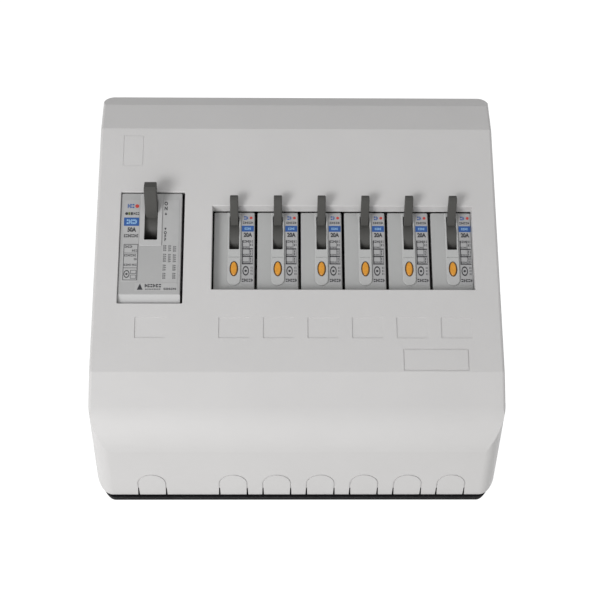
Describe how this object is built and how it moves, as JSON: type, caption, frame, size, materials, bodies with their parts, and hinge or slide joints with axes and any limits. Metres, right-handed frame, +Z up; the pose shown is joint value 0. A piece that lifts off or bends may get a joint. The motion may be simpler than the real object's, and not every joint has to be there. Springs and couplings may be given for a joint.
{
  "type": "breaker panel box",
  "caption": "Surface-mounted breaker panel box with a hinged white cover, a wide main breaker and a row of narrow branch breakers with test buttons.",
  "frame": {"origin": "centre of the four wall screws, on the back face of the base tray", "axes": "+X right as seen from the room, +Z up, the wall is y = 0 and the room is on the -Y side"},
  "size_m": [0.324, 0.1093, 0.3283],
  "materials": {
    "cover_white": "moulded, low gloss with a very fine texture",
    "base_black": "moulded, satin",
    "case_light": "moulded thermoset, semi gloss",
    "lever_grey": "moulded, satin",
    "button_amber": "moulded, glossy",
    "steel": "zinc plated sheet",
    "screw_steel": "zinc plated, turned",
    "arc_steel": "stamped sheet",
    "copper": "bare rolled copper",
    "brass": "machined bar",
    "insulator": "moulded",
    "insulator_dark": "moulded",
    "coil": "varnished winding",
    "sticker": "printed film"
  },
  "bodies": {
    "panel": {"base_tray": "base_black", "hinge_pins": "steel", "din_rail": "steel", "main_bracket": "steel", "frame_screws": "screw_steel", "busbar_line": "copper", "busbar_neutral": "copper", "busbar_holders": "insulator", "earth_bar": "brass", "earth_stands": "insulator", "earth_screws": "screw_steel", "main_case_base": "case_light", "main_case_cover": "case_light", "main_pivot_pins": "steel", "main_fixed_contacts": "copper", "main_load_terminals": "copper", "main_arc_chutes": "arc_steel", "main_terminal_screws": "screw_steel", "main_stickers": "sticker", "branch_pivot_pins": "steel", "branch_fixed_contacts": "copper", "branch_load_terminals": "copper", "branch_arc_chutes": "arc_steel", "branch_current_coils": "coil", "branch_test_leaves": "brass", "branch_terminal_screws": "screw_steel", "branch_stickers": "sticker", "branch_1_case_base": "case_light", "branch_1_case_cover": "case_light", "branch_2_case_base": "case_light", "branch_2_case_cover": "case_light", "branch_3_case_base": "case_light", "branch_3_case_cover": "case_light", "branch_4_case_base": "case_light", "branch_4_case_cover": "case_light", "branch_5_case_base": "case_light", "branch_5_case_cover": "case_light", "branch_6_case_base": "case_light", "branch_6_case_cover": "case_light"},
    "cover": {"front_cover": "cover_white"},
    "main_lever": {"main_handle": "lever_grey"},
    "main_contacts": {"main_contact_arm": "insulator_dark"},
    "branch_1_lever": {"branch_1_handle": "lever_grey"},
    "branch_1_button": {"branch_1_test_button": "button_amber"},
    "branch_1_contacts": {"branch_1_contact_arm": "insulator_dark"},
    "branch_2_lever": {"branch_2_handle": "lever_grey"},
    "branch_2_button": {"branch_2_test_button": "button_amber"},
    "branch_2_contacts": {"branch_2_contact_arm": "insulator_dark"},
    "branch_3_lever": {"branch_3_handle": "lever_grey"},
    "branch_3_button": {"branch_3_test_button": "button_amber"},
    "branch_3_contacts": {"branch_3_contact_arm": "insulator_dark"},
    "branch_4_lever": {"branch_4_handle": "lever_grey"},
    "branch_4_button": {"branch_4_test_button": "button_amber"},
    "branch_4_contacts": {"branch_4_contact_arm": "insulator_dark"},
    "branch_5_lever": {"branch_5_handle": "lever_grey"},
    "branch_5_button": {"branch_5_test_button": "button_amber"},
    "branch_5_contacts": {"branch_5_contact_arm": "insulator_dark"},
    "branch_6_lever": {"branch_6_handle": "lever_grey"},
    "branch_6_button": {"branch_6_test_button": "button_amber"},
    "branch_6_contacts": {"branch_6_contact_arm": "insulator_dark"}
  },
  "joints": [
    {"name": "cover_hinge", "type": "hinge", "parent": "panel", "child": "cover", "pos_m": [0, -0.014, 0.1621], "axis": [-1, 0, 0], "range_deg": [0, 75]},
    {"name": "main_lever_pivot", "type": "hinge", "parent": "panel", "child": "main_lever", "pos_m": [-0.1177, -0.0735, 0.049], "axis": [-1, 0, 0], "range_deg": [-67, 0]},
    {"name": "main_contact_pivot", "type": "hinge", "parent": "panel", "child": "main_contacts", "pos_m": [-0.1177, -0.05, 0.014], "axis": [-1, 0, 0], "range_deg": [-17, 0]},
    {"name": "branch_1_lever_pivot", "type": "hinge", "parent": "panel", "child": "branch_1_lever", "pos_m": [-0.0507, -0.069, 0.041], "axis": [-1, 0, 0], "range_deg": [-72, 0]},
    {"name": "branch_1_contact_pivot", "type": "hinge", "parent": "panel", "child": "branch_1_contacts", "pos_m": [-0.0507, -0.05, 0.024], "axis": [-1, 0, 0], "range_deg": [-18.3, 0]},
    {"name": "branch_1_test_press", "type": "slide", "parent": "panel", "child": "branch_1_button", "axis": [0, 1, 0], "range_m": [0, 0.002], "stiffness_N_per_m": 300, "springref_m": -0.002},
    {"name": "branch_2_lever_pivot", "type": "hinge", "parent": "panel", "child": "branch_2_lever", "pos_m": [-0.0154, -0.069, 0.041], "axis": [-1, 0, 0], "range_deg": [-72, 0]},
    {"name": "branch_2_contact_pivot", "type": "hinge", "parent": "panel", "child": "branch_2_contacts", "pos_m": [-0.0154, -0.05, 0.024], "axis": [-1, 0, 0], "range_deg": [-18.3, 0]},
    {"name": "branch_2_test_press", "type": "slide", "parent": "panel", "child": "branch_2_button", "axis": [0, 1, 0], "range_m": [0, 0.002], "stiffness_N_per_m": 300, "springref_m": -0.002},
    {"name": "branch_3_lever_pivot", "type": "hinge", "parent": "panel", "child": "branch_3_lever", "pos_m": [0.0199, -0.069, 0.041], "axis": [-1, 0, 0], "range_deg": [-72, 0]},
    {"name": "branch_3_contact_pivot", "type": "hinge", "parent": "panel", "child": "branch_3_contacts", "pos_m": [0.0199, -0.05, 0.024], "axis": [-1, 0, 0], "range_deg": [-18.3, 0]},
    {"name": "branch_3_test_press", "type": "slide", "parent": "panel", "child": "branch_3_button", "axis": [0, 1, 0], "range_m": [0, 0.002], "stiffness_N_per_m": 300, "springref_m": -0.002},
    {"name": "branch_4_lever_pivot", "type": "hinge", "parent": "panel", "child": "branch_4_lever", "pos_m": [0.0552, -0.069, 0.041], "axis": [-1, 0, 0], "range_deg": [-72, 0]},
    {"name": "branch_4_contact_pivot", "type": "hinge", "parent": "panel", "child": "branch_4_contacts", "pos_m": [0.0552, -0.05, 0.024], "axis": [-1, 0, 0], "range_deg": [-18.3, 0]},
    {"name": "branch_4_test_press", "type": "slide", "parent": "panel", "child": "branch_4_button", "axis": [0, 1, 0], "range_m": [0, 0.002], "stiffness_N_per_m": 300, "springref_m": -0.002},
    {"name": "branch_5_lever_pivot", "type": "hinge", "parent": "panel", "child": "branch_5_lever", "pos_m": [0.0905, -0.069, 0.041], "axis": [-1, 0, 0], "range_deg": [-72, 0]},
    {"name": "branch_5_contact_pivot", "type": "hinge", "parent": "panel", "child": "branch_5_contacts", "pos_m": [0.0905, -0.05, 0.024], "axis": [-1, 0, 0], "range_deg": [-18.3, 0]},
    {"name": "branch_5_test_press", "type": "slide", "parent": "panel", "child": "branch_5_button", "axis": [0, 1, 0], "range_m": [0, 0.002], "stiffness_N_per_m": 300, "springref_m": -0.002},
    {"name": "branch_6_lever_pivot", "type": "hinge", "parent": "panel", "child": "branch_6_lever", "pos_m": [0.1258, -0.069, 0.041], "axis": [-1, 0, 0], "range_deg": [-72, 0]},
    {"name": "branch_6_contact_pivot", "type": "hinge", "parent": "panel", "child": "branch_6_contacts", "pos_m": [0.1258, -0.05, 0.024], "axis": [-1, 0, 0], "range_deg": [-18.3, 0]},
    {"name": "branch_6_test_press", "type": "slide", "parent": "panel", "child": "branch_6_button", "axis": [0, 1, 0], "range_m": [0, 0.002], "stiffness_N_per_m": 300, "springref_m": -0.002}
  ],
  "couplings": [
    {"joint": "main_contact_pivot", "follows": "main_lever_pivot", "ratio": 0.25},
    {"joint": "branch_1_contact_pivot", "follows": "branch_1_lever_pivot", "ratio": 0.25},
    {"joint": "branch_2_contact_pivot", "follows": "branch_2_lever_pivot", "ratio": 0.25},
    {"joint": "branch_3_contact_pivot", "follows": "branch_3_lever_pivot", "ratio": 0.25},
    {"joint": "branch_4_contact_pivot", "follows": "branch_4_lever_pivot", "ratio": 0.25},
    {"joint": "branch_5_contact_pivot", "follows": "branch_5_lever_pivot", "ratio": 0.25},
    {"joint": "branch_6_contact_pivot", "follows": "branch_6_lever_pivot", "ratio": 0.25}
  ]
}
